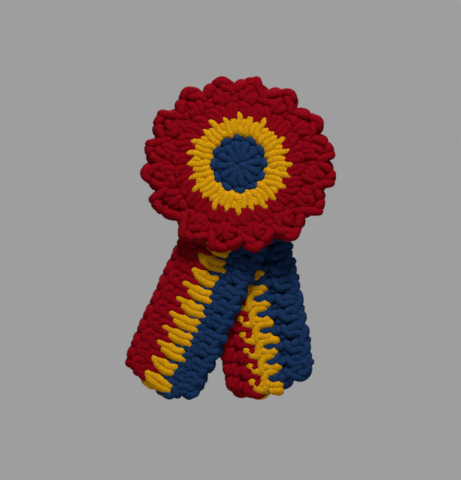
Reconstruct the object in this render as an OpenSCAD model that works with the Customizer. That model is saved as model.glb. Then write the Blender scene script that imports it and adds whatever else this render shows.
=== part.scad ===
// Crocheted award ribbon: a round rosette, a three-colour strip folded behind it so that
// both ends hang as tails, and a bar pin sewn to the back.
// +X is to the right, +Z is up and the front faces -Y. The origin is on the axis of the pin
// stem, which is what holds the ribbon to a garment.

/* [Yarn] */
// Diameter of the yarn
yarn_d = 1.9; // [1.5:0.1:2.4]
// Thickness of the rosette's fabric
rosette_t = 4.6; // [3.8:0.1:5.4]
// Thickness of the strip's fabric
strip_t = 4.0; // [3.2:0.1:4.8]

/* [Rosette] */
// Width over the scallops
rosette_w = 58.6; // [50:0.1:66]
// Height over the scallops
rosette_h = 54.3; // [46:0.1:62]
// How far a scallop stands out past the dip between two
scallop_depth = 2.4; // [1:0.1:4]
// Radius of the blue centre
centre_r = 8.6; // [7:0.1:10]
// Radius to the tips of the yellow round
yellow_r = 15; // [12:0.1:17]
// Radius to the holes that the scallops are worked into
red_r = 20.5; // [18:0.1:23]
// Radius of the hole in the starting ring
ring_hole_r = 0.8; // [0.4:0.1:1.5]
// Height of the pin above the middle of the rosette
pin_above_middle = 9; // [6:0.5:14]

/* [Strip] */
// Width of the red row
red_row_w = 9.4; // [7:0.1:12]
// Width of the yellow row
yellow_row_w = 6.8; // [5:0.1:9]
// Width of the blue row
blue_row_w = 9.2; // [7:0.1:12]
// Lean of the left tail from upright
left_lean = 24.5; // [15:0.5:30]
// Lean of the right tail from upright
right_lean = 10.5; // [5:0.5:20]
// Length of the strip from the fold to the left end
left_len = 58.3; // [45:0.1:70]
// Length of the strip from the fold to the right end
right_len = 55.5; // [45:0.1:70]
// Depth of the fold below the middle of the rosette
fold_below_middle = 14.4; // [10:0.1:18]
// Distance of each tail's bend from the middle of the rosette
bend_r = 30.6; // [30.6:0.1:33]
// Radius of the corners at the ends
corner_r = 3; // [1:0.5:4]

/* [Pin] */
// Length of the bar
bar_l = 26; // [26:0.5:28]
// Width of the bar
bar_w = 5; // [4:0.5:7]
// Thickness of the bar
bar_t = 0.7; // [0.5:0.1:1]
// Height of the stem's axis above the bar
stem_rise = 2.7; // [2.5:0.1:3]
// Diameter of the stem
stem_d = 0.8; // [0.6:0.1:1]
// Length of the stem's straight round part
shaft_l = 17; // [16:0.5:17]
// Distance between the sewing holes
hole_step = 6; // [4:0.5:6.5]
// Diameter of a sewing hole
hole_d = 1.6; // [1.2:0.1:2]
// Diameter of the sewing thread
thread_d = 0.7; // [0.5:0.1:0.9]

/* [Hidden] */
$fn = 48;
slack = 0.3;                                 // air between pieces that move apart
more = 0.5;                                  // how far a cut runs past what it cuts
red = "#780a14";
yellow = "#c18a08";
blue = "#14305a";
steel = "#c8c8c4";
thread_colour = "#5a0a12";

// Depths, from the stem's axis at 0 forward to the face of the rosette
back_y = -stem_rise - bar_t;                 // back of the rosette, where all is sewn on
middle_z = -pin_above_middle;                // middle of the rosette

// Where each scallop peaks, in degrees from +X: hand work isn't evenly spaced
scallop_at = [-174, -153, -123, -103, -80, -56, -31, -10, 9, 30, 56, 81, 101, 123, 147, 168];
scallop_points = 8;
yellow_tips = 24;
centre_stitches = 12;
petal_points = 4;                            // points on the outline for each stitch

// Strip: each row's edges across the width, red on the left
strip_w = red_row_w + yellow_row_w + blue_row_w;
row_edges = [
    -strip_w / 2, -strip_w / 2 + red_row_w, strip_w / 2 - blue_row_w, strip_w / 2
];
fold_at = [0, middle_z - fold_below_middle];
fold_slope = (right_lean - left_lean) / 2;   // a fold mirrors one tail onto the other
fold_stretch = 1 / cos((left_lean + right_lean) / 2);
front_y = back_y;                            // front of the left tail
left_back_y = back_y + strip_t;
right_back_y = left_back_y + slack + strip_t;
fold_y = left_back_y + slack / 2;
turn_inset = 0.05;                           // the turn is a hair inside the flat rows
fold_r = strip_t + slack / 2 - turn_inset;
fold_lap = 0.5;                              // how far the turn laps over the flat rows
bend_round = strip_t / 2;                    // rounding of a tail's top about its bend

// Pin: places along the bar
hinge_x = -11.4;
shaft_x = -9.6;
eye_r = 1;
eye_w = 1.2;
rivet_r = 0.4;
run_gap = 0.05;                              // radial gap of a turning fit
ear_t = 0.6;
ear_gap = eye_w + 2 * slack;
catch_x = 9;
catch_l = 3.6;
catch_r = 2;
barrel_r = 1.38;
catch_bore_r = barrel_r + run_gap;
barrel_bore_r = 0.75;
barrel_slot = 1.1;
catch_mouth = 80;                            // angle of the catch's opening, facing back
tab_r = 3.4;
tab_t = 0.8;

// A closed outline round the rosette's middle, stretched to the rosette's width and height
function stretched(r, a) = [r * cos(a), r * sin(a) * rosette_h / rosette_w];
function petals(r, lobes, depth, start = 0) = [
    for (i = [0 : lobes * petal_points - 1])
        let (a = start + 360 * i / (lobes * petal_points))
        stretched(r - depth / 2 * (1 - cos(lobes * (a - start))), a)
];
function circle_outline(r) = petals(r, 24, 0);

// Scallops: the radius rounds over each peak and comes to a nick halfway to the next
function gap_after(i) = (
    scallop_at[(i + 1) % len(scallop_at)] - scallop_at[i] + 360) % 360;
function scallop_outline() = [
    for (i = [0 : len(scallop_at) - 1])
        for (j = [0 : scallop_points - 1])
            let (part = j / scallop_points)
            let (a = scallop_at[i] + gap_after(i) * part)
            stretched(rosette_w / 2 - scallop_depth * (1 - abs(cos(180 * part))), a)
];

// Lays an outline in the XZ plane, reaching forward by t from the depth y
module upright(y, t) {
    translate([0, y, 0]) rotate([90, 0, 0]) linear_extrude(t) children();
}

module ring_of_fabric(outer, inner, t = rosette_t) {
    upright(back_y, t) translate([0, middle_z]) difference() {
        polygon(outer);
        polygon(inner);
    }
}

// Blue round worked into the starting ring
module centre_round() {
    color(blue) ring_of_fabric(
        petals(centre_r, centre_stitches, 0.6), circle_outline(ring_hole_r), rosette_t - 0.6);
}

// Yellow round, two stitches on each blue one
module yellow_round() {
    color(yellow) ring_of_fabric(
        petals(yellow_r, yellow_tips, 1.2), petals(centre_r, centre_stitches, 0.6), rosette_t - 0.2);
}

// Plain red round behind the scallops
module red_round() {
    color(red) ring_of_fabric(circle_outline(red_r), petals(yellow_r, yellow_tips, 1.2));
}

// Last red round, which makes the scallops
module scallop_edge() {
    color(red) ring_of_fabric(scallop_outline(), circle_outline(red_r));
}

// Directions of a tail that leans by lean: down along it, and across it from red to blue
function along(lean) = [sin(lean), -cos(lean)];
function across(lean) = [cos(lean), sin(lean)];
function on_fold(w) = fold_at + w * fold_stretch * [cos(fold_slope), sin(fold_slope)];
function on_tail(lean, s, w) = fold_at + s * along(lean) + w * across(lean);
function bend_s(lean) = bend_r - fold_below_middle * cos(lean);

// One row of a tail's fixed part, from the fold to just above the bend
module row_head(row, lean, y) {
    low = bend_s(lean) - bend_round - slack;
    upright(y, strip_t) polygon([
        on_fold(row_edges[row]), on_fold(row_edges[row + 1]),
        on_tail(lean, low, row_edges[row + 1]), on_tail(lean, low, row_edges[row])
    ]);
}

// Section of the turn: half round on top, straight for the lap below
function turn_outline() = concat(
    [[fold_r, -fold_lap]],
    [for (i = [0 : 15]) fold_r * [cos(12 * i), sin(12 * i)]],
    [[-fold_r, -fold_lap]]
);

// One row of the strip where it turns over the fold, with its two heads
module fold_row(row) {
    row_head(row, -left_lean, left_back_y);
    row_head(row, right_lean, right_back_y);
    w0 = row_edges[row] * fold_stretch + turn_inset;
    w1 = row_edges[row + 1] * fold_stretch - turn_inset;
    translate([fold_at[0], fold_y, fold_at[1]]) rotate([0, -fold_slope, 0])
        translate([w0, 0, 0]) rotate([90, 0, 90]) linear_extrude(w1 - w0) polygon(turn_outline());
}

module fold_red() {
    color(red) fold_row(0);
}

module fold_yellow() {
    color(yellow) fold_row(1);
}

module fold_blue() {
    color(blue) fold_row(2);
}

// Outline of a hanging row, with the strip's outer bottom corner rounded
function corner(w, end, side) = [
    for (i = [0 : 6])
        let (a = side < 0 ? 270 - 15 * i : 360 - 15 * i)
        [w - side * corner_r + corner_r * cos(a), -(end - corner_r) + corner_r * sin(a)]
];
function row_outline(row, top, end) = concat(
    [[row_edges[row], -top], [row_edges[row + 1], -top]],
    row == 2 ? corner(row_edges[3], end, 1) : [[row_edges[row + 1], -end]],
    row == 0 ? corner(row_edges[0], end, -1) : [[row_edges[row], -end]]
);

// One row of the part of a tail that hangs free; its top is round about the bend
module tail_row(row, lean, end, y) {
    top = bend_s(lean);
    translate([fold_at[0], 0, fold_at[1]]) rotate([0, -lean, 0]) {
        upright(y, strip_t) polygon(row_outline(row, top, end));
        translate([row_edges[row], y - bend_round, -top]) rotate([0, 90, 0])
            cylinder(r = bend_round, h = row_edges[row + 1] - row_edges[row]);
    }
}

module left_tail_red() {
    color(red) tail_row(0, -left_lean, left_len, left_back_y);
}

module left_tail_yellow() {
    color(yellow) tail_row(1, -left_lean, left_len, left_back_y);
}

module left_tail_blue() {
    color(blue) tail_row(2, -left_lean, left_len, left_back_y);
}

module right_tail_red() {
    color(red) tail_row(0, right_lean, right_len, right_back_y);
}

module right_tail_yellow() {
    color(yellow) tail_row(1, right_lean, right_len, right_back_y);
}

module right_tail_blue() {
    color(blue) tail_row(2, right_lean, right_len, right_back_y);
}

// Yarn that whips the fold to the back of the rosette
module strip_stitches() {
    stitch_r = 0.6;
    turn_r = fold_r + stitch_r;
    color(red) for (w = [-10 : 5 : 10])
        translate([fold_at[0], fold_y, fold_at[1]]) rotate([0, -fold_slope, 0]) intersection() {
            translate([w, 0, 0]) rotate([0, 90, 0]) rotate([0, 0, 90])
                rotate_extrude() translate([turn_r, 0]) circle(stitch_r, $fn = 16);
            translate([w - stitch_r, back_y - fold_y, 0])
                cube([2 * stitch_r, 2 * turn_r, 2 * turn_r]);
        }
}

// A yarn end woven along the back of a round: half sunk, so half a tube shows
module yarn_end(r, from, to) {
    half = yarn_d * 0.4;
    translate([0, back_y, middle_z]) rotate([-90, 0, 0]) rotate([0, 0, -to])
        rotate_extrude(angle = to - from) polygon([
            for (i = [0 : 8]) [r + half * cos(22.5 * i), half * sin(22.5 * i)]
        ]);
}

module blue_yarn_end() {
    color(blue) yarn_end(5, 190, 330);
}

module yellow_yarn_end() {
    color(yellow) yarn_end(11.5, 150, 215);
}

module red_yarn_end() {
    color(red) yarn_end(22, 5, 40);
}

function catch_mouth_corner(side) =
    2 * catch_r * [cos(catch_mouth / 2), side * sin(catch_mouth / 2)];

// Stamped bar with two ears for the rivet, three sewing holes and the curled catch
module pin_bar() {
    color(steel) difference() {
        union() {
            translate([-bar_l / 2, back_y, -bar_w / 2]) cube([bar_l, bar_t, bar_w]);
            for (side = [-1, 1])
                translate([hinge_x - eye_r, back_y, side * (ear_gap + ear_t) / 2 - ear_t / 2]) {
                    cube([2 * eye_r, -back_y, ear_t]);
                    translate([eye_r, -back_y, 0]) cylinder(r = eye_r, h = ear_t);
                }
            translate([catch_x, 0, 0]) rotate([0, 90, 0]) cylinder(r = catch_r, h = catch_l);
            translate([catch_x, back_y, -catch_r * 0.6])
                cube([catch_l, -back_y - catch_bore_r, catch_r * 1.2]);
        }
        for (x = [-hole_step, 0, hole_step])
            translate([x, back_y - more, 0]) rotate([-90, 0, 0])
                cylinder(d = hole_d, h = bar_t + 2 * more);
        translate([hinge_x, 0, -bar_w]) cylinder(r = rivet_r, h = 2 * bar_w);
        translate([catch_x - more, 0, 0]) rotate([0, 90, 0])
            cylinder(r = catch_bore_r, h = catch_l + 2 * more);
        translate([catch_x - more, 0, 0]) rotate([90, 0, 90]) linear_extrude(catch_l + 2 * more)
            polygon([[0, 0], catch_mouth_corner(-1), catch_mouth_corner(1)]);
    }
}

// Thread through each sewing hole and over both edges of the bar
module bar_stitches() {
    lie_y = back_y + bar_t + thread_d / 2;
    over_z = bar_w / 2 + thread_d / 2;
    color(thread_colour) for (x = [-hole_step, 0, hole_step], side = [-1, 1])
        translate([x, 0, side * thread_d * 0.55]) {
            run = over_z - thread_d * 0.55;
            translate([0, lie_y, 0]) rotate([side < 0 ? 180 : 0, 0, 0])
                cylinder(d = thread_d, h = run);
            for (z = [0, side * run]) {
                translate([0, lie_y, z]) sphere(d = thread_d);
                translate([0, back_y, z]) rotate([-90, 0, 0])
                    cylinder(d = thread_d, h = lie_y - back_y);
            }
        }
}

// Rivet through the ears, with a head on each side
module hinge_rivet() {
    outside = ear_gap / 2 + ear_t;
    head = 0.35;
    color(steel) translate([hinge_x, 0, 0]) {
        translate([0, 0, -outside]) cylinder(r = rivet_r, h = 2 * outside);
        for (side = [-1, 1])
            translate([0, 0, side * (outside + head / 2) - head / 2])
                cylinder(r = 2 * rivet_r, h = head);
    }
}

// Sharp stem with an eye that turns on the rivet
module pin_stem() {
    root_d = 1.15;
    taper_l = 4.8;
    color(steel) difference() {
        union() {
            translate([hinge_x, 0, -eye_w / 2]) cylinder(r = eye_r, h = eye_w);
            translate([hinge_x, 0, 0]) rotate([0, 90, 0])
                cylinder(d1 = root_d, d2 = stem_d, h = shaft_x - hinge_x);
            translate([shaft_x, 0, 0]) rotate([0, 90, 0]) cylinder(d = stem_d, h = shaft_l);
            translate([shaft_x + shaft_l, 0, 0]) rotate([0, 90, 0])
                cylinder(d1 = stem_d, d2 = 0.1, h = taper_l);
        }
        translate([hinge_x, 0, -eye_w]) cylinder(r = rivet_r + run_gap, h = 2 * eye_w);
    }
}

// Slotted barrel that turns in the catch and shuts over the stem's point
module catch_barrel() {
    tab_x = catch_x + catch_l + slack;
    color(steel) difference() {
        union() {
            translate([catch_x, 0, 0]) rotate([0, 90, 0])
                cylinder(r = barrel_r, h = catch_l + slack + tab_t);
            translate([tab_x, -tab_t / 2, -tab_r]) cube([tab_t, tab_t, tab_r]);
        }
        translate([catch_x - more, 0, 0]) rotate([0, 90, 0])
            cylinder(r = barrel_bore_r, h = catch_l + slack + tab_t + 2 * more);
        translate([catch_x - more, 0, -barrel_slot / 2])
            cube([catch_l + slack + tab_t + 2 * more, 2 * barrel_r, barrel_slot]);
    }
}

centre_round();
yellow_round();
red_round();
scallop_edge();
fold_red();
fold_yellow();
fold_blue();
left_tail_red();
left_tail_yellow();
left_tail_blue();
right_tail_red();
right_tail_yellow();
right_tail_blue();
strip_stitches();
blue_yarn_end();
yellow_yarn_end();
red_yarn_end();
pin_bar();
bar_stitches();
hinge_rivet();
pin_stem();
catch_barrel();
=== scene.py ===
"""Crocheted award ribbon: rosette, folded strip with two hanging ends, and a bar pin."""
import math

import bmesh
import bpy
import numpy as np
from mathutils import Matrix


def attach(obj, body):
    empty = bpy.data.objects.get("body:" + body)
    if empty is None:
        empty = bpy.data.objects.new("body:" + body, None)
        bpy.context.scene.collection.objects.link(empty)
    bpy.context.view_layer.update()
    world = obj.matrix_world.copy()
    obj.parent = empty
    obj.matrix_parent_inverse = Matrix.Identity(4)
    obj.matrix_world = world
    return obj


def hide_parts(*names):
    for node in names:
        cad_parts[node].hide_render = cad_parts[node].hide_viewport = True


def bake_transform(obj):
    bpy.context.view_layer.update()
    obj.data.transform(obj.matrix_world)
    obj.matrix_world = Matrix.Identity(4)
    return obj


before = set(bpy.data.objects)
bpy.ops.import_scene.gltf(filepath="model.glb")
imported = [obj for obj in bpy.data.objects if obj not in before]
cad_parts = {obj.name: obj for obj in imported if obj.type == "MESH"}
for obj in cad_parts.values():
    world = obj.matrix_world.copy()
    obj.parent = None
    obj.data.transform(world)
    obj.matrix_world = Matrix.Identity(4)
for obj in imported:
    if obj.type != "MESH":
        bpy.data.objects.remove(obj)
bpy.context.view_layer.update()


# The camera: straight in front of the ribbon on a long lens, framed so that the ribbon stands
# a little above and to the right of the middle of the picture.
frame_height = 0.144
look_at_x = -0.0025
look_at_z = -0.0315
camera_distance = 0.60                # the camera and the lights are in metres
sensor_width = 36.0
camera_data = bpy.data.cameras.new("camera")
camera_data.sensor_width = sensor_width
camera_data.lens = sensor_width * camera_distance / frame_height
camera = bpy.data.objects.new("camera", camera_data)
camera.location = (look_at_x, -camera_distance, look_at_z)
camera.rotation_euler = (math.radians(90), 0, 0)
bpy.context.scene.collection.objects.link(camera)
bpy.context.scene.camera = camera


# Blue centre round: a tight ring of soft plied yarn with twelve long stitches worked into it.
# One length of yarn makes it all: a turn over the hook, left behind the work, a long loop drawn
# up through the ring, and a link of chain that lies along the top.
yarn_d = 1.9                          # the yarn pulled tight, in millimetres like all its sizes

# One stitch, as places on the yarn in the order in which the hook draws it. Each place is: share
# of the way to the next stitch's top, distance along the row, share of the height, distance
# above that, and depth towards the front. Distances are in yarn diameters.
draw_loop = [                         # down the back, through the row below, up, round and back
    (0, -0.46, 0.34, 0, -0.85), (0, -0.40, 0.05, -0.80, -0.95), (0, -0.08, 0, -1.20, 0.45),
    (0, -0.26, 0, -0.20, 0.85), (0, -0.56, 0.28, 0, 0.80), (0, -0.50, 0.46, 0, 0.45),
    (0, 0.0, 0.60, 0, 0.0),
    (0, 0.50, 0.46, 0, 0.45), (0, 0.56, 0.28, 0, 0.75), (0, 0.26, 0, -0.20, 0.55),
    (0, 0.08, 0, -1.10, -0.20), (0, 0.40, 0.05, -0.80, -0.95),
]
hidden_turn = [(0, -0.70, 0.80, 0, -0.80), (0, 0.70, 0.55, 0, -0.95)]
long_loop = [(s, 1.1 * a, 0.78 * h / 0.60, u, z) for s, a, h, u, z in draw_loop]
covered_link = [                      # its front strand lies low, under the next row's legs
    (0, 0.45, 0.70, 0, -0.90), (0, 0.05, 1, -0.45, -0.60), (0, 0.0, 1, -0.15, 0.10),
    (0.30, 0, 1, 0.10, 0.25), (0.75, 0, 1, 0.10, 0.25), (1.10, 0, 1, 0.0, 0.0),
    (0.80, 0, 1, 0.10, -0.45), (0.30, 0, 1, 0.10, -0.45), (0, -0.10, 0.95, 0.0, -0.70),
    (0, 0.05, 0.62, 0, -1.00),
]
stitch_kinds = {"long": hidden_turn + long_loop + covered_link}
worked_ease = 0.5                     # how far a strand rounds off its bends


def polar(angle, r):
    """Points at these angles, in degrees, and radii."""
    return np.stack([r * np.cos(np.radians(angle)), r * np.sin(np.radians(angle))], -1)


def worked_row(base, top, kinds, last_top, depth=1.0):
    """Path of the yarn through a row of stitches: base and top are each stitch's two ends in
    the plane, in the order worked, kinds their kinds, and last_top is where the last link leads.
    Each place is base and top mixed by its height, plus its share of the way to the next top,
    plus its distances along the row, above and, times depth, towards the front."""
    kinds = [kinds] * len(top) if isinstance(kinds, str) else kinds
    place = np.concatenate([np.array(stitch_kinds[kind], float) for kind in kinds])
    stitch = np.repeat(np.arange(len(top)), [len(stitch_kinds[kind]) for kind in kinds])
    up = top - base
    up /= np.linalg.norm(up, axis=1, keepdims=True)
    onward = np.vstack([top[1:], last_top]) - top
    side = np.stack([-up[:, 1], up[:, 0]], 1)
    side *= np.sign(np.sum(side * onward, 1, keepdims=True))
    share, a, h, u, z = place.T[:, :, None]
    flat = (base[stitch] * (1 - h) + top[stitch] * h + onward[stitch] * share
            + side[stitch] * a * yarn_d + up[stitch] * u * yarn_d)
    return np.hstack([flat, z * yarn_d * depth])


def smooth_line(points, step, ease):
    """A soft curve led by the points: cubics through them with ten places to each, sampled
    evenly at about step, then averaged with a bell-shaped weight whose width is ease."""
    p = np.vstack([2 * points[0] - points[1], points, 2 * points[-1] - points[-2]])
    t = np.linspace(0, 1, 10, endpoint=False)[None, :, None]
    a, b, c, d = (p[k:len(p) - 3 + k, None, :] for k in range(4))
    fine = 0.5 * (2 * b + (c - a) * t + (2 * a - 5 * b + 4 * c - d) * t**2
                  + (3 * b - a - 3 * c + d) * t**3)
    fine = np.vstack([fine.reshape(-1, 3), points[-1:]])
    run = np.concatenate([[0], np.cumsum(np.linalg.norm(np.diff(fine, axis=0), axis=1))])
    at = np.linspace(0, run[-1], int(run[-1] / step) + 1)
    line = np.stack([np.interp(at, run, fine[:, k]) for k in range(3)], axis=1)
    reach = int(3 * ease / step)
    weight = np.exp(-0.5 * (np.arange(-reach, reach + 1) * step / ease) ** 2)
    padded = np.vstack([np.repeat(line[:1], reach, 0), line, np.repeat(line[-1:], reach, 0)])
    weight = weight / weight.sum()
    return np.stack([np.convolve(padded[:, k], weight, "valid") for k in range(3)], 1)


centre_count = 12
centre_top = 8.2
centre_turn = 15
ring_r = 2.9
centre_angle = centre_turn + 360 / centre_count * np.arange(centre_count)
centre_path = worked_row(polar(centre_angle, ring_r), polar(centre_angle, centre_top), "long",
                         polar(centre_angle[:1], centre_top))


# Yellow round: two short stitches in each blue one, so they stand in pairs on twelve holes. Each
# is one leaf-shaped loop, pointed below, with a hind leg drawn up a little past the top.
def leaf_loop(reach):
    """Places on a short stitch's loop; its hind leg is drawn up by reach above the top."""
    return [
        (0, -0.80, 0.50, 0, -1.05), (0, -0.46, 0.30, 0, -0.95), (0, -0.40, 0.05, -0.80, -0.95),
        (0, -0.18, 0, -0.75, 0.55), (0, -0.36, 0, -0.20, 0.95), (0, -0.44, 0.45, 0, 0.95),
        (0, -0.50, 0.85, 0, 1.00), (0, -0.48, 1.0, 0.45 * reach, 0.90),
        (0, -0.46, 1.0, reach, 0.45), (0, -0.44, 1.0, 0.45 * reach, -0.30),
        (0, -0.15, 0.92, 0, 0.10), (0, 0.34, 0.78, 0, 0.65), (0, 0.44, 0.45, 0, 0.90),
        (0, 0.36, 0, -0.20, 0.85), (0, 0.18, 0, -0.75, -0.10), (0, 0.40, 0.05, -0.80, -0.95),
    ]


stitch_kinds["short"] = leaf_loop(0.10) + covered_link
jitter = np.random.default_rng(7)     # the unevenness of hand work
yellow_count = 24
yellow_top = 15.1
yellow_base = 9.9
yellow_turn = 12                      # holes lie this far on from the blue tops, in degrees
yellow_pair = 3.6                     # and each pair stands this far to either side of its hole
yellow_lag = 2.5
yellow_hole = (np.repeat(centre_angle + yellow_turn, 2)
               + np.tile([-yellow_pair, yellow_pair], centre_count))
yellow_angle = (yellow_hole[0] - yellow_lag + 360 / yellow_count * np.arange(yellow_count)
                + jitter.normal(0, 0.7, yellow_count))
yellow_path = worked_row(polar(yellow_hole, yellow_base),
                         polar(yellow_angle, yellow_top + jitter.normal(0, 0.25, yellow_count)),
                         "short", polar(yellow_angle[:1], yellow_top))


# Red round: 32 long stitches worked into the 24 yellow ones. Every third hole is used twice, so
# that the disc grows wider as it should and stays flat.
red_count = 32
red_top = 21.5
red_hole = np.arange(red_count) * yellow_count // red_count
red_spread = 2.2                      # how far two in one hole stand apart from it, in degrees
red_pair = np.tile([-red_spread, red_spread, 0, 0], red_count // 4)
red_angle = (yellow_angle[0] + 360 / red_count * np.arange(red_count)
             + jitter.normal(0, 0.6, red_count))
red_path = worked_row(polar(yellow_angle[red_hole] + red_pair, yellow_top),
                      polar(red_angle, red_top), "long", polar(red_angle[:1], red_top))


# Scallop edge: sixteen fans, each of two half-tall stitches in one hole, and a slip stitch that
# draws the edge in before the next fan. The links along the top run round as a smooth rim.
rim_link = [
    (0, 0.40, 0.70, 0, -0.95), (0, 0.05, 1, -0.60, -0.70), (-0.05, 0, 1, 0.05, 0.15),
    (0.05, 0, 1, 0.50, 0.60), (0.50, 0, 1, 0.58, 0.75), (0.98, 0, 1, 0.50, 0.65),
    (1.15, 0, 1, 0.30, 0.0), (0.80, 0, 1, 0.40, -0.55), (0.50, 0, 1, 0.45, -0.60),
    (0.20, 0, 1, 0.30, -0.60), (0, -0.40, 0.92, -0.20, -0.85),
]
low_loop = [(s, a, 0.68 * h / 0.60, u, z - 0.5 if h == 0 else z - 0.35)
            for s, a, h, u, z in draw_loop]
stitch_kinds["half"] = hidden_turn + low_loop + rim_link
low_turn = [(0, -0.2, 0.3, 0, -0.90), (0, 0, 0.15, 0, 0.30), (0, 0, 0.5, 0, 0.60)]
stitch_kinds["slip"] = low_turn + rim_link[1:]
fan_kinds = ["half", "half", "slip"]
# The angle of each fan's peak, and how far it stands out past the others, uneven by hand.
peak = np.array([101, 123, 147, 168, 186, 207, 237, 257, 280, 304, 329, 350, 369, 390, 416, 441.0])
peak_rise = np.array([-0.3, 0.0, 0.3, -0.2, -0.1, 0.6, 0.6, 0.5, -0.4, 0.5, 0.2, 0.2, 0, -0.8, -0.5, 0])
next_peak = np.append(peak[1:], peak[0] + 360)
fan_count = len(peak)
edge_count = fan_count * len(fan_kinds)
fan_share = np.array([-0.08, 0.24, 0.60])
fan_top = np.array([26.4, 26.0, 22.6])
hole_share = np.array([0.04, 0.18, 0.55])
turn_to_next = (next_peak - peak)[:, None]
fan_angle = (peak[:, None] + fan_share * turn_to_next).ravel()
fan_angle += jitter.normal(0, 0.5, edge_count)
hole_angle = (peak[:, None] + hole_share * turn_to_next).ravel()
fan_r = (fan_top + peak_rise[:, None]).ravel() + jitter.normal(0, 0.2, edge_count)
fan_end = polar(fan_angle, fan_r)
scallop_path = worked_row(polar(hole_angle, red_top), fan_end, fan_kinds * fan_count, fan_end[:1])


# The rounds pulled tight. Strands press on each other wherever they cross, so the four lengths
# of yarn are settled together before they become pieces.
settle_step = 0.55                    # places this far apart along each yarn
press_gap = 1.70                      # strands pressed together lie this far apart
rosette_half_t = 1.45                 # and are held to about this far from the middle plane


def near_pairs(p, reach, skip):
    """Pairs of places nearer than reach that are more than skip places apart on the yarn. The
    places are sorted into cubes of side reach, and each cube meets itself and the 13 before."""
    cube = np.floor((p - p.min(0)) / reach).astype(np.int64) + 1
    span = cube.max(0) + 2
    key = (cube[:, 0] * span[1] + cube[:, 1]) * span[2] + cube[:, 2]
    order = np.argsort(key, kind="stable")
    ranked = key[order]
    around = np.meshgrid([-1, 0, 1], [-1, 0, 1], [-1, 0, 1], indexing="ij")
    steps = np.stack(around, -1).reshape(-1, 3)[:14]
    wanted = (key[:, None] + (steps[:, 0] * span[1] + steps[:, 1]) * span[2] + steps[:, 2]).ravel()
    first = np.searchsorted(ranked, wanted, "left")
    count = np.searchsorted(ranked, wanted, "right") - first
    i = np.repeat(np.repeat(np.arange(len(p)), 14), count)
    start = np.repeat(first - np.concatenate([[0], np.cumsum(count)[:-1]]), count)
    j = order[start + np.arange(count.sum())]
    same = np.repeat(np.tile(np.arange(14) == 13, len(p)), count)
    keep = (np.abs(i - j) > skip) & (~same | (i < j)) & (np.sum((p[i] - p[j]) ** 2, 1) < reach ** 2)
    return i[keep], j[keep]


def settle(lines, gap, room, rounds=60):
    """Yarns pressed together, in many small rounds: places nearer than gap are moved apart along
    the line between them, each is eased towards the middle of its two neighbours and drawn a
    little to where it was worked, and the depth is held within room either way."""
    straighten, homing, flatten = 0.16, 0.04, 0.6
    p = np.concatenate(lines)
    worked = p.copy()
    last = np.cumsum([len(line) for line in lines]) - 1
    inner = np.setdiff1d(np.arange(1, len(p) - 1), np.concatenate([last, last[:-1] + 1]))
    for turn in range(rounds):
        if turn % 5 == 0:
            i, j = near_pairs(p, gap * 1.35, int(1.5 * gap / settle_step) + 1)
        apart = p[i] - p[j]
        far = np.maximum(np.linalg.norm(apart, axis=1, keepdims=True), 0.05)
        push = 0.5 * np.clip(gap - far, 0, None) * apart / far
        met = (far[:, 0] < gap).astype(float)
        share = np.bincount(i, met, len(p)) + np.bincount(j, met, len(p))
        move = np.stack([np.bincount(i, push[:, k], len(p)) - np.bincount(j, push[:, k], len(p))
                         for k in range(3)], 1)
        p += move / np.maximum(1, 0.45 * share)[:, None]
        p[inner] += straighten * (0.5 * (p[inner - 1] + p[inner + 1]) - p[inner])
        p += homing * (worked - p)
        p[:, 2] += flatten * (np.clip(p[:, 2], -room, room) - p[:, 2])
    return np.split(p, last[:-1] + 1)


rosette_settled = settle([smooth_line(path, settle_step, worked_ease) for path in
                          (centre_path, yellow_path, red_path, scallop_path)],
                         press_gap, rosette_half_t)


# The rosette's pieces: each round is its own yarn, a rope of four plies turned about each other.
# The round is a little wider than it is tall, and its lowest part leans forward off the strip.
MM = 0.001
squash_z = 0.912
rosette_mid = np.array([0.0, -5.7, -9.0])
rim_forward = 2.4
ply_pitch = 2.5                       # one whole turn of the plies
ring_pitch = 0.33                     # rings of the surface this far apart
laid_ease = 0.45
ply_angle = np.radians(np.arange(8) * 45.0)
ply_radius = np.tile([1.0, 0.955], 4)


def on_rosette(path):
    """From the rosette's own plane and depth to the frame: height is multiplied by a squash that
    falls with the radius, and the front is towards -Y. From 12 below the middle, down to 26,
    the rim leans out by up to rim_forward, as the one-and-a-half power of the way."""
    r = np.linalg.norm(path[:, :2], axis=1)
    squash = np.interp(r, [8, 14, 27], [1.03, 0.95, squash_z])
    forward = rim_forward * np.clip((-path[:, 1] - 12) / 14, 0, 1) ** 1.5
    return np.stack([path[:, 0], -path[:, 2] - forward, path[:, 1] * squash], 1) + rosette_mid


def turn_product(a, b):
    """Quaternion product of two arrays of turns, a after b."""
    w = a[:, :1] * b[:, :1] - np.sum(a[:, 1:] * b[:, 1:], 1, keepdims=True)
    v = a[:, :1] * b[:, 1:] + b[:, :1] * a[:, 1:] + np.cross(a[:, 1:], b[:, 1:])
    return np.hstack([w, v])


def carried_frames(line):
    """Tangents of the line, and the two directions across it carried along with no twist: each
    step's smallest turn, multiplied up by doubling."""
    tangent = np.gradient(line, axis=0)
    tangent /= np.linalg.norm(tangent, axis=1, keepdims=True)
    first = np.cross(tangent[0], [0.3, 0.5, 0.81])
    first /= np.linalg.norm(first)
    turns = np.hstack([1 + np.sum(tangent[:-1] * tangent[1:], 1, keepdims=True),
                       np.cross(tangent[:-1], tangent[1:])])
    turns /= np.linalg.norm(turns, axis=1, keepdims=True)
    turns = np.vstack([[1, 0, 0, 0], turns])
    reach = 1
    while reach < len(turns):
        turns[reach:] = turn_product(turns[reach:], turns[:-reach].copy())
        reach *= 2
    w, v = turns[:, :1], turns[:, 1:]
    across = first + 2 * np.cross(v, np.cross(v, first) + w * first)
    return tangent, across, np.cross(tangent, across)


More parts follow.
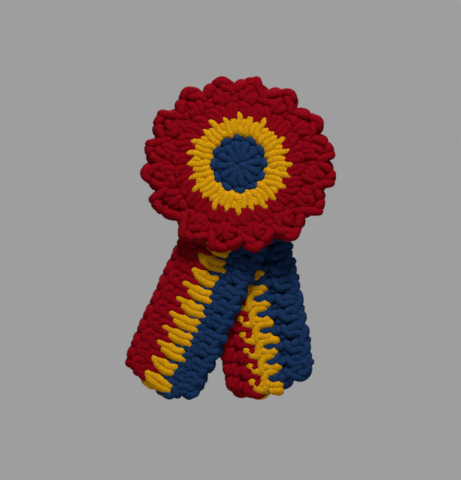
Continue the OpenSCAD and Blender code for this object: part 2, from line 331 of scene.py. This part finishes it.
def plied_tube(line, d, pitch):
    """Surface of a plied yarn: a section with four crests is carried along the line and turned
    once for each pitch, and both ends are drawn in and closed. UV is turns along, share round."""
    tangent, e1, e2 = carried_frames(line)
    run = np.concatenate([[0], np.cumsum(np.linalg.norm(np.diff(line, axis=0), axis=1))])
    taper = np.ones(len(line))
    taper[[0, -1]] = 0.02
    taper[[1, -2]] = 0.7
    a = ply_angle[None, :] - 2 * np.pi * run[:, None] / pitch
    r = 0.5 * d * taper[:, None] * ply_radius[None, :]
    points = (line[:, None, :] + r[..., None] * (
        np.cos(a)[..., None] * e1[:, None, :] + np.sin(a)[..., None] * e2[:, None, :]))
    n, m = len(line), len(ply_angle)
    i, j = np.meshgrid(np.arange(n - 1), np.arange(m), indexing="ij")
    k = (j + 1) % m
    faces = np.stack([i * m + j, i * m + k, (i + 1) * m + k, (i + 1) * m + j], -1).reshape(-1, 4)
    end = np.array([[0, 1, 2, 3], [0, 3, 4, 7], [4, 5, 6, 7]])
    faces = np.concatenate([faces, end[:, ::-1], (n - 1) * m + end])
    u0, u1 = run[i] / pitch, run[i + 1] / pitch
    v0, v1 = j / m, (j + 1) / m
    uv = np.stack([u0, v0, u0, v1, u1, v1, u1, v0], -1).reshape(-1, 2)
    return points.reshape(-1, 3), faces, np.vstack([uv, np.zeros((24, 2))])


def mesh_object(name, points, faces, uv=None):
    """A smooth-shaded mesh from arrays of points in millimetres, of faces and of their corners'
    UV places."""
    mesh = bpy.data.meshes.new(name)
    mesh.from_pydata(points * MM, [], faces)
    mesh.polygons.foreach_set("use_smooth", np.ones(len(mesh.polygons), bool))
    if uv is not None:
        mesh.uv_layers.new(name="along_yarn").data.foreach_set("uv", uv.astype(np.float32).ravel())
    mesh.update()
    made = bpy.data.objects.new(name, mesh)
    bpy.context.scene.collection.objects.link(made)
    return made


def yarn_piece(name, lines, material, d, pitch=ply_pitch):
    """One piece from lengths of yarn, each a plied tube of thickness d."""
    parts, count = [], 0
    for line in lines:
        points, faces, uv = plied_tube(line, d, pitch)
        parts.append((points, faces + count, uv))
        count += len(points)
    points, faces, uv = (np.concatenate([p[k] for p in parts]) for k in range(3))
    made = mesh_object(name, points, faces, uv)
    made.data.materials.append(material)
    return made


def new_material(name):
    """A new material, with its nodes, its links and its shader."""
    material = bpy.data.materials.new(name)
    material.use_nodes = True
    nodes = material.node_tree.nodes
    return material, nodes, material.node_tree.links, nodes["Principled BSDF"]


def yarn_material(name, dark_fibre_and_groove_shade, light_fibre_and_crest_highlight, plies=4):
    """Plied yarn: matt fibre, streaked along each ply, with painted light on the crests and painted
    shade in the grooves between plies, with fine fibres that stand up a little."""
    material, nodes, links, shader = new_material(name)
    shader.inputs["Roughness"].default_value = 0.9
    shader.inputs["Specular IOR Level"].default_value = 0.03
    place = nodes.new("ShaderNodeTexCoord")
    split = nodes.new("ShaderNodeSeparateXYZ")
    links.new(place.outputs["UV"], split.inputs["Vector"])
    wave = nodes.new("ShaderNodeMath")
    wave.operation = "MULTIPLY"
    wave.inputs[1].default_value = 2 * math.pi * plies
    links.new(split.outputs["Y"], wave.inputs[0])
    # Painted shade and light: a cosine round the yarn, darker in the grooves between plies and lighter
    # on their crests, added faintly to the streaks.
    painted_ply_shading_wave = nodes.new("ShaderNodeMath")
    painted_ply_shading_wave.operation = "COSINE"
    links.new(wave.outputs["Value"], painted_ply_shading_wave.inputs[0])
    stretch = nodes.new("ShaderNodeMapping")
    stretch.inputs["Scale"].default_value = (3.0, 26.0, 1.0)
    links.new(place.outputs["UV"], stretch.inputs["Vector"])
    streak = nodes.new("ShaderNodeTexNoise")
    streak.inputs["Scale"].default_value = 1.0
    streak.inputs["Detail"].default_value = 3.0
    links.new(stretch.outputs["Vector"], streak.inputs["Vector"])
    fibre = nodes.new("ShaderNodeTexNoise")
    fibre.inputs["Scale"].default_value = 2400
    fibre.inputs["Detail"].default_value = 3.0
    links.new(place.outputs["Object"], fibre.inputs["Vector"])
    height = nodes.new("ShaderNodeMath")
    height.operation = "MULTIPLY_ADD"
    height.inputs[1].default_value = 0.10
    links.new(painted_ply_shading_wave.outputs["Value"], height.inputs[0])
    links.new(streak.outputs["Fac"], height.inputs[2])
    rough = nodes.new("ShaderNodeMath")
    rough.operation = "MULTIPLY_ADD"
    rough.inputs[1].default_value = 1.1
    links.new(fibre.outputs["Fac"], rough.inputs[0])
    links.new(height.outputs["Value"], rough.inputs[2])
    ramp = nodes.new("ShaderNodeValToRGB")
    ramp.color_ramp.elements[0].position = 0.0
    ramp.color_ramp.elements[0].color = (*dark_fibre_and_groove_shade, 1)
    ramp.color_ramp.elements[1].position = 1.0
    ramp.color_ramp.elements[1].color = (*light_fibre_and_crest_highlight, 1)
    shade = nodes.new("ShaderNodeMapRange")
    shade.inputs["From Min"].default_value = 0.60
    shade.inputs["From Max"].default_value = 1.25
    links.new(rough.outputs["Value"], shade.inputs["Value"])
    links.new(shade.outputs["Result"], ramp.inputs["Fac"])
    links.new(ramp.outputs["Color"], shader.inputs["Base Color"])
    bump = nodes.new("ShaderNodeBump")
    bump.inputs["Strength"].default_value = 0.75
    bump.inputs["Distance"].default_value = 0.00018
    links.new(rough.outputs["Value"], bump.inputs["Height"])
    links.new(bump.outputs["Normal"], shader.inputs["Normal"])
    return material


# Each yarn goes from its darker fibre, with painted shade in the ply grooves, to its lighter fibre,
# with painted light on the crests.
blue = yarn_material("blue_yarn", (0.0028, 0.010, 0.040), (0.0145, 0.047, 0.140))
yellow = yarn_material("yellow_yarn", (0.42, 0.148, 0.0013), (0.80, 0.41, 0.005))
red = yarn_material("red_yarn", (0.13, 0.0007, 0.0034), (0.315, 0.0022, 0.0100))
rosette_rounds = [("centre_round", blue, "blue_yarn", 2.65),
                  ("yellow_round", yellow, "yellow_yarn", 3.0),
                  ("red_round", red, "red_yarn", 2.8),
                  ("scallop_edge", red, "red_yarn", 2.75)]
for (name, material, slot, thick), settled in zip(rosette_rounds, rosette_settled):
    laid = smooth_line(on_rosette(settled), ring_pitch, laid_ease)
    piece = yarn_piece(name + "_yarn", [laid], material, thick)
    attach(piece, "rosette")
    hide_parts(name)


# The strip: a foundation chain and three rows worked one on another, always from the same side
# and from the same end, then folded over and sewn on by the fold.
left_lean = np.radians(24.5)          # each tail, from straight down
right_lean = np.radians(10.5)
left_len = 58.3
right_len = 55.5
strip_w = 25.4
fold_at = np.array([0.0, -23.4])
fold_mid_y = 0.75
turn_r = 2.15
fold_slope = -np.radians(7.0)
fold_along = np.array([math.cos(fold_slope), math.sin(fold_slope)])
fold_over = np.array([-math.sin(fold_slope), math.cos(fold_slope)])
half_angle = (left_lean + right_lean) / 2
strip_len = left_len + math.pi * turn_r + right_len
stitch_w = 4.68
stitch_count = int(strip_len / stitch_w)


def on_strip(path):
    """From the flat strip, as worked, to the frame. Places are along the strip, across it from
    the blue edge, and depth. The part past the fold's line goes round a turn, whose radius is
    turn_r plus the depth, slips sideways by the tangent of half_angle on the way, and hangs down
    again behind. The blue edge is drawn in on the left half and stands out a little on the
    right, both fading out to nothing 9 in from the edge."""
    up_left = np.array([math.sin(left_lean), math.cos(left_lean)])
    to_right = np.array([math.cos(left_lean), -math.sin(left_lean)])
    drawn_in = np.interp(path[:, 0], [left_len, left_len + 10], [1.3, -0.5])
    across = path[:, 1] + drawn_in * np.clip(1 - path[:, 1] / 9, 0, 1)
    flat = (path[:, :1] - left_len) * up_left + (strip_w / 2 - across)[:, None] * to_right
    a, q, z = flat @ fold_along, flat @ fold_over, path[:, 2]
    arc = math.pi * turn_r
    a = a - math.tan(half_angle) * np.clip(q, 0, arc)
    turn = np.clip(q, 0, arc) / turn_r
    past = np.where(q < 0, q, np.where(q > arc, arc - q, 0))
    height = past + (turn_r + z) * np.sin(turn)
    y = fold_mid_y - (turn_r + z) * np.cos(turn)
    place = fold_at + a[:, None] * fold_along + height[:, None] * fold_over
    return np.stack([place[:, 0], y, place[:, 1]], 1)


# Stitches of the strip: the blue and red ones are tall, with their legs wide apart below, and
# the hind legs of the yellow ones are drawn up between the red.
turn_over_hook = [                    # slants down across the front of the post
    (0, -0.90, 0.92, -0.2, -0.60), (0, -0.80, 0.80, 0, 0.30), (0, 0.0, 0.62, 0, 0.95),
    (0, 0.80, 0.48, 0, 0.40), (0, 0.50, 0.40, 0, -0.75),
]
second_loop = [                       # through the first loop and the turn, up to the top
    (0, 0.40, 0.22, 0, -0.95), (0, 0.0, 0.42, 0, -0.60), (0, -0.35, 0.50, 0, 0.35),
    (0, -0.55, 0.68, 0, 0.75), (0, -0.48, 0.88, 0, 0.50), (0, 0.0, 1, 0.05, 0.0),
    (0, 0.48, 0.88, 0, 0.50), (0, 0.55, 0.68, 0, 0.75), (0, 0.25, 0.50, 0, 0.35),
    (0, 0.30, 0.46, 0, -0.60),
]
chain_link = [                        # up the back, out over the top and on to the next stitch
    (0, 0.40, 0.70, 0, -0.95), (0, 0.05, 1, -0.45, -0.70), (0, 0.0, 1, -0.05, 0.20),
    (0.28, 0, 1, 0.22, 0.65), (0.50, 0, 1, 0.25, 0.70), (0.78, 0, 1, 0.20, 0.60),
    (1.12, 0, 1, 0.05, 0.0), (0.75, 0, 1, 0.15, -0.60), (0.30, 0, 1, 0.12, -0.60),
    (0, -0.40, 0.95, -0.10, -0.85),
]
wide_loop = [(s, 1.7 * a if h == 0 and u > -0.5 else a, h, 0.75 * u if h == 0 else u, z)
             for s, a, h, u, z in draw_loop]
stitch_kinds["chain"] = chain_link
stitch_kinds["wide"] = turn_over_hook + wide_loop + second_loop + chain_link
stitch_kinds["drawn"] = leaf_loop(0.6) + covered_link
stitch_kinds["drawn_far"] = leaf_loop(1.4) + covered_link
strip_depth = 0.80                    # depths in the strip's stitches, against the rosette's
strip_half_t = 1.15
yarn_turned_off = (1.2, 0.4)          # where the last link of a row leads, back and down


def row_line(kinds, y0, y1, ends, corner=(0, 0, 0, 0)):
    """A row of the strip from y0 to y1 across it, its ends drawn in by those distances. corner
    says how far the end stitches lean in and rise at the base, then at the top."""
    first, last = strip_len - 0.5 * stitch_w - ends[1], 0.5 * stitch_w + ends[0]
    along = np.linspace(first, last, stitch_count) + jitter.normal(0, 0.18, stitch_count)
    top_along = along + jitter.normal(0, 0.12, stitch_count)
    top_y = y1 + jitter.normal(0, 0.16, stitch_count)
    base = np.stack([along, np.full(stitch_count, float(y0))], 1)
    top = np.stack([top_along, top_y], 1)
    lean = np.zeros((stitch_count, 1))
    lean[[0, 1, -2, -1], 0] = (-1.0, -0.25, 0.25, 1.0)
    base += np.hstack([corner[0] * lean, corner[1] * np.abs(lean)])
    top += np.hstack([corner[2] * lean, corner[3] * np.abs(lean)])
    path = worked_row(base, top, kinds, top[-1:] - yarn_turned_off, strip_depth)
    return smooth_line(path, settle_step, worked_ease)


yellow_kinds = ["drawn"] * stitch_count
yellow_kinds[-7:-2] = ["drawn_far"] * 5    # low on the left tail, where the row is worked last
# A foundation chain, then blue, yellow and red, each from and to so far across the strip.
strip_rows = settle([row_line("chain", 0.7, 1.9, (0.2, 1.0), (2.4, 1.6, 2.4, 1.6)),
                     row_line("wide", 2.4, 11.4, (-0.6, 0.6), (2.6, 1.5, 0, 0)),
                     row_line(yellow_kinds, 11.2, 17.3, (0.2, 0.0)),
                     row_line("wide", 17.3, 23.7, (1.6, 0.4), (0, 0, 1.2, -0.4))],
                    press_gap, strip_half_t)
strip_yarns = {"blue": (blue, 2.65, strip_rows[:2]), "yellow": (yellow, 2.9, strip_rows[2:3]),
               "red": (red, 2.9, strip_rows[3:])}
tails = {"left": ("left_tail", -left_lean), "right": ("right_tail", right_lean)}


def bend_with_tail(piece):
    """The piece's placing is baked into its points."""
    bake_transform(piece)


for colour, (material, thick, rows) in strip_yarns.items():
    halves = {"left": [], "right": []}
    for row in rows:
        laid = smooth_line(on_strip(row), ring_pitch, laid_ease)
        cut = np.flatnonzero(laid[:, 1] < fold_mid_y)[0]
        halves["right"].append(laid[:cut + 1])
        halves["left"].append(laid[cut:])
    stands_for = {"left": (f"left_tail_{colour}", f"fold_{colour}"),
                  "right": (f"right_tail_{colour}",)}
    for side in tails:
        piece = yarn_piece(f"{side}_{colour}_yarn", halves[side], material, thick)
        bend_with_tail(piece)
        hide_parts(*stands_for[side])


# The heart of the fabric: deep in the work the strands cross too closely to be told apart, and
# close it against the light. Each part of it is one thin closed layer inside the rows, in the
# yarns' colours darkened as painted shade, flat in the rosette and folded over with the strip.
def band_material(name, edges, colours):
    """Fibre seen far in between strands, in painted shade: bands of the yarns' colours darkened,
    across V, each from its edge to the next one's, with the edges wandering by noise."""
    material, nodes, links, shader = new_material(name)
    shader.inputs["Roughness"].default_value = 1.0
    shader.inputs["Specular IOR Level"].default_value = 0.0
    place = nodes.new("ShaderNodeTexCoord")
    split = nodes.new("ShaderNodeSeparateXYZ")
    links.new(place.outputs["UV"], split.inputs["Vector"])
    noise = nodes.new("ShaderNodeTexNoise")
    noise.inputs["Scale"].default_value = 700
    links.new(place.outputs["Object"], noise.inputs["Vector"])
    wander = nodes.new("ShaderNodeMath")
    wander.operation = "MULTIPLY_ADD"
    wander.inputs[1].default_value = 0.03
    links.new(noise.outputs["Fac"], wander.inputs[0])
    links.new(split.outputs["Y"], wander.inputs[2])
    ramp = nodes.new("ShaderNodeValToRGB")
    ramp.color_ramp.interpolation = "CONSTANT"
    while len(ramp.color_ramp.elements) < len(colours):
        ramp.color_ramp.elements.new(0.5)
    for stop, edge, colour in zip(ramp.color_ramp.elements, edges, colours):
        stop.position = edge
        stop.color = (*colour, 1)
    links.new(wander.outputs["Value"], ramp.inputs["Fac"])
    links.new(ramp.outputs["Color"], shader.inputs["Base Color"])
    return material


def close_ends(made):
    """Points at one place become one point, which closes a surface drawn in to a point there."""
    shape = bmesh.new()
    shape.from_mesh(made.data)
    bmesh.ops.remove_doubles(shape, verts=shape.verts, dist=1e-7)
    shape.to_mesh(made.data)
    shape.free()


def closed_layer(rows, columns):
    """Quads of a tube that has so many rows, or rings, with so many columns of points each."""
    i, j = np.meshgrid(np.arange(rows - 1), np.arange(columns), indexing="ij")
    k = (j + 1) % columns
    return np.stack([i * columns + j, i * columns + k, (i + 1) * columns + k,
                     (i + 1) * columns + j], -1).reshape(-1, 4)


# The blue, yellow and red yarns' darkest colours, darker still: painted shade of the fibre between
# strands.
yarn_colours_in_painted_shade = ((0.003, 0.010, 0.034), (0.35, 0.14, 0.0015), (0.09, 0.0005, 0.0025))
layer_t = 1.3
disc_r = 25.0
disc_rows, disc_columns = 60, 120
lap = np.linspace(0, math.pi, disc_rows)
ring_out = disc_r * np.sin(lap) ** 0.6
ring_depth = 0.5 * layer_t * np.sign(np.cos(lap)) * np.abs(np.cos(lap)) ** 0.3
round_a = np.linspace(0, 2 * math.pi, disc_columns, endpoint=False)
disc = np.stack([ring_out[:, None] * np.cos(round_a), ring_out[:, None] * np.sin(round_a),
                 np.repeat(ring_depth[:, None], disc_columns, 1)], -1).reshape(-1, 3)
disc_faces = closed_layer(disc_rows, disc_columns)[:, ::-1]
disc_v = np.repeat(ring_out / disc_r, disc_columns)
disc_uv = np.stack([np.zeros_like(disc_v), disc_v], 1)[disc_faces].reshape(-1, 2)
rosette_heart = mesh_object("rosette_heart", on_rosette(disc), disc_faces, disc_uv)
close_ends(rosette_heart)
rosette_heart.data.materials.append(band_material("rosette_heart", (0, 0.37, 0.58), yarn_colours_in_painted_shade))
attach(rosette_heart, "rosette")

heart_material = band_material("strip_heart", (0, 0.43, 0.70), yarn_colours_in_painted_shade)
band_rows, band_columns = 90, 60
band_mid = 13.0
band_half_w = 9.8
band_share = np.linspace(0, 1, band_rows)
closing = np.clip(np.minimum(band_share, 1 - band_share) * 30, 0, 1) ** 0.5
lap = np.linspace(0, 2 * math.pi, band_columns, endpoint=False)
band_across = np.sign(np.cos(lap)) * np.abs(np.cos(lap)) ** 0.7
band_depth = np.sign(np.sin(lap)) * np.abs(np.sin(lap)) ** 0.5
band_inset = 2.5                      # each band stops this far inside the strip's end
band_past_fold = 4                    # and runs this far on past the middle of the fold
fold_x = left_len + 0.5 * math.pi * turn_r
band_ends = {"left": (band_inset, fold_x + band_past_fold),
             "right": (strip_len - band_inset, fold_x - band_past_fold)}
for side, (start, end) in band_ends.items():
    band = np.stack([np.repeat((start + (end - start) * band_share)[:, None], band_columns, 1),
                     band_mid + band_half_w * band_across * closing[:, None],
                     0.4 * layer_t * band_depth * closing[:, None]], -1).reshape(-1, 3)
    band_faces = closed_layer(band_rows, band_columns)
    if side == "right":                   # made from the other end, so its faces turn round
        band_faces = band_faces[:, ::-1]
    band_uv = np.stack([band[:, 0] / strip_len, band[:, 1] / strip_w], 1)[band_faces].reshape(-1, 2)
    piece = mesh_object(f"{side}_tail_heart", on_strip(band), band_faces, band_uv)
    close_ends(piece)
    piece.data.materials.append(heart_material)
    bend_with_tail(piece)


# Yarn ends: each round finishes with a short end of its own yarn, woven in and out of the back
# of the work and cut off close.
end_y = -2.5                          # the middle of the weave, at the back of the rosette
end_rise = 0.55
end_sink = 0.75
end_dive = 2.0                        # how deep the two tips go into the work
end_squash = 0.95


def woven_end(name, slot, material, r, start, end):
    """An arc of radius r between two angles. Along it the yarn rises to end_rise and sinks by
    end_sink as the squared cosine of one and a half turns, and dives at both tips, easing off
    exponentially."""
    share = np.linspace(0, 1, 60)
    angle = np.radians(start + (end - start) * share)
    height = (end_rise - end_sink * np.cos(2 * math.pi * 1.5 * share) ** 2
              - end_dive * np.exp(-np.minimum(share, 1 - share) * 14))
    woven = np.stack([r * np.cos(angle), end_y + height,
                      rosette_mid[2] + r * np.sin(angle) * end_squash], 1)
    piece = yarn_piece(name, [smooth_line(woven, 0.25, 0.4)], material, yarn_d)
    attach(piece, "rosette")
    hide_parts(slot + "_end")


woven_end("blue_yarn_end_woven", "blue_yarn", blue, 5.0, 190, 330)
woven_end("yellow_yarn_end_woven", "yellow_yarn", yellow, 11.5, 150, 215)
woven_end("red_yarn_end_woven", "red_yarn", red, 22.0, 5, 40)


# Whip stitches: five slanting stitches of thinner red yarn go over the fold and through the
# back of the rosette, and hold the strip on.
whip_d = 1.3
whip_pitch = 1.7
whip_r = turn_r + 2.35
whip_slant = 1.8
whip_lap = np.radians(np.linspace(18, 205, 50))
whip_sink = np.interp(np.degrees(whip_lap), [18, 45, 60, 170, 205], [1.6, 0.2, 0.0, 0.0, 1.9])
whip_lines = []
for along_fold in (-10, -5, 0, 5, 10):
    slant = along_fold - 0.5 * whip_slant + whip_slant * np.linspace(0, 1, 50)
    stitch_at = (fold_at + slant[:, None] * fold_along
                 + ((whip_r - whip_sink) * np.sin(whip_lap))[:, None] * fold_over)
    stitch_y = fold_mid_y - (whip_r - whip_sink) * np.cos(whip_lap)
    whip_lines.append(smooth_line(np.stack([stitch_at[:, 0], stitch_y, stitch_at[:, 1]], 1),
                                  0.22, 0.3))
strip_stitches = yarn_piece("strip_whip_stitches", whip_lines, red, whip_d, whip_pitch)
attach(strip_stitches, "rosette")
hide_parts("strip_stitches")


# Bar thread: doubled sewing thread comes up each hole of the bar, over its edge and down into
# the yarn, above and below.
thread_d = 0.55
thread_pitch = 0.8
# The thread's two colours also carry painted shade in its grooves and painted light on its crests.
thread = yarn_material("sewing_thread", (0.035, 0.0008, 0.003), (0.10, 0.004, 0.010), 3)
over_bar = np.array([[-5.6, 0.0], [-3.9, 0.05], [-2.6, 0.35], [-2.35, 1.0], [-2.32, 2.0],
                     [-2.5, 2.75], [-3.3, 3.05], [-4.6, 3.0], [-5.8, 2.7]])
thread_lines = []
for hole_x in (-6.0, 0.0, 6.0):
    for up in (1, -1):
        for beside in (-0.34, 0.34):
            spread = np.linspace(0.3, 1.6, len(over_bar)) * beside
            route = np.stack([hole_x + spread + 0.1 * up, over_bar[:, 0],
                              up * (over_bar[:, 1] + 0.1)], 1)
            thread_lines.append(smooth_line(route, 0.12, 0.2))
bar_thread = yarn_piece("bar_sewing_thread", thread_lines, thread, thread_d,
                        thread_pitch)
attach(bar_thread, "rosette")
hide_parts("bar_stitches")


# Pin: a stamped and plated steel bar with a drawn wire stem, its rivet and the turning barrel.
def steel_material(name, colour, rough, streak, dent):
    """Bright plating: roughness and fine dents drawn out by streak, the scale along X, Y and Z,
    and patches a little darker in colour."""
    material, nodes, links, shader = new_material(name)
    shader.inputs["Metallic"].default_value = 1.0
    place = nodes.new("ShaderNodeTexCoord")
    stretch = nodes.new("ShaderNodeMapping")
    stretch.inputs["Scale"].default_value = streak
    links.new(place.outputs["Object"], stretch.inputs["Vector"])
    grain = nodes.new("ShaderNodeTexNoise")
    grain.inputs["Scale"].default_value = 1.0
    grain.inputs["Detail"].default_value = 5.0
    links.new(stretch.outputs["Vector"], grain.inputs["Vector"])
    wear = nodes.new("ShaderNodeTexNoise")
    wear.inputs["Scale"].default_value = 420
    wear.inputs["Detail"].default_value = 3.0
    links.new(place.outputs["Object"], wear.inputs["Vector"])
    spread = nodes.new("ShaderNodeMapRange")
    spread.inputs["From Min"].default_value = 0.3
    spread.inputs["From Max"].default_value = 0.7
    spread.inputs["To Min"].default_value = rough - 0.08
    spread.inputs["To Max"].default_value = rough + 0.14
    links.new(grain.outputs["Fac"], spread.inputs["Value"])
    links.new(spread.outputs["Result"], shader.inputs["Roughness"])
    tone = nodes.new("ShaderNodeValToRGB")
    tone.color_ramp.elements[0].position = 0.35
    tone.color_ramp.elements[0].color = (*(0.72 * np.array(colour)), 1)
    tone.color_ramp.elements[1].position = 0.62
    tone.color_ramp.elements[1].color = (*colour, 1)
    links.new(wear.outputs["Fac"], tone.inputs["Fac"])
    links.new(tone.outputs["Color"], shader.inputs["Base Color"])
    bump = nodes.new("ShaderNodeBump")
    bump.inputs["Strength"].default_value = dent
    bump.inputs["Distance"].default_value = 0.00004
    links.new(grain.outputs["Fac"], bump.inputs["Height"])
    links.new(bump.outputs["Normal"], shader.inputs["Normal"])
    return material


stamped_steel = steel_material("stamped_steel", (0.66, 0.65, 0.62), 0.30, (300, 2600, 2600), 0.35)
drawn_steel = steel_material("drawn_steel", (0.72, 0.71, 0.69), 0.20, (200, 5000, 5000), 0.2)
turned_steel = steel_material("turned_steel", (0.62, 0.61, 0.58), 0.26, (4200, 300, 300), 0.3)
for material, names in ((stamped_steel, ("pin_bar",)), (drawn_steel, ("pin_stem",)),
                        (turned_steel, ("hinge_rivet", "catch_barrel"))):
    for name in names:
        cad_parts[name].data.materials.clear()
        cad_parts[name].data.materials.append(material)


# The studio: grey paper well below, surroundings that are even grey at eye level and darker
# above and below, a soft key light high in front, and a broad one behind.
world = bpy.data.worlds.new("studio")
world.use_nodes = True
sky_nodes, sky_links = world.node_tree.nodes, world.node_tree.links
sky_place = sky_nodes.new("ShaderNodeTexCoord")
sky_split = sky_nodes.new("ShaderNodeSeparateXYZ")
sky_links.new(sky_place.outputs["Generated"], sky_split.inputs["Vector"])
sky_share = sky_nodes.new("ShaderNodeMapRange")
sky_share.inputs["From Min"].default_value = -1.0
sky_links.new(sky_split.outputs["Z"], sky_share.inputs["Value"])
sky = sky_nodes.new("ShaderNodeValToRGB")
for position, grey in ((0.34, 0.16), (0.435, 0.342), (0.565, 0.342), (0.64, 0.10)):
    stop = sky.color_ramp.elements.new(position)
    stop.color = (grey, grey, grey, 1)
sky.color_ramp.elements.remove(sky.color_ramp.elements[0])
sky.color_ramp.elements.remove(sky.color_ramp.elements[-1])
sky_links.new(sky_share.outputs["Result"], sky.inputs["Fac"])
sky_links.new(sky.outputs["Color"], world.node_tree.nodes["Background"].inputs["Color"])
bpy.context.scene.world = world
bpy.context.scene.view_settings.view_transform = "Standard"


def area_light(name, place, size, power, aim):
    """A soft square light of that size in metres, facing the aim point."""
    data = bpy.data.lights.new(name, "AREA")
    data.size = size
    data.energy = power
    light = bpy.data.objects.new(name, data)
    light.location = place
    x, y, z = np.array(aim) - np.array(place)
    light.rotation_euler = (math.atan2(math.hypot(x, y), -z), 0, math.atan2(x, -y) + math.pi)
    bpy.context.scene.collection.objects.link(light)


floor_r = 1.50
floor_z = -0.30
floor_sides = 96
floor_edge = polar(np.linspace(0, 360, floor_sides, endpoint=False), floor_r)
floor_points = np.hstack([floor_edge, np.full((floor_sides, 1), floor_z)])
floor_mesh = bpy.data.meshes.new("studio_floor")
floor_mesh.from_pydata(floor_points, [], [list(range(floor_sides))])
studio_floor = bpy.data.objects.new("studio_floor", floor_mesh)
bpy.context.scene.collection.objects.link(studio_floor)
floor_paper, _, _, floor_shader = new_material("floor_paper")
floor_shader.inputs["Base Color"].default_value = (0.5, 0.5, 0.5, 1)
floor_shader.inputs["Roughness"].default_value = 0.9
floor_mesh.materials.append(floor_paper)
ribbon_mid = (0, 0, -0.03)
area_light("key_light", (0.05, -0.38, 0.42), 0.16, 3.2, ribbon_mid)
area_light("back_light", (-0.10, 0.45, 0.25), 0.40, 3.0, ribbon_mid)
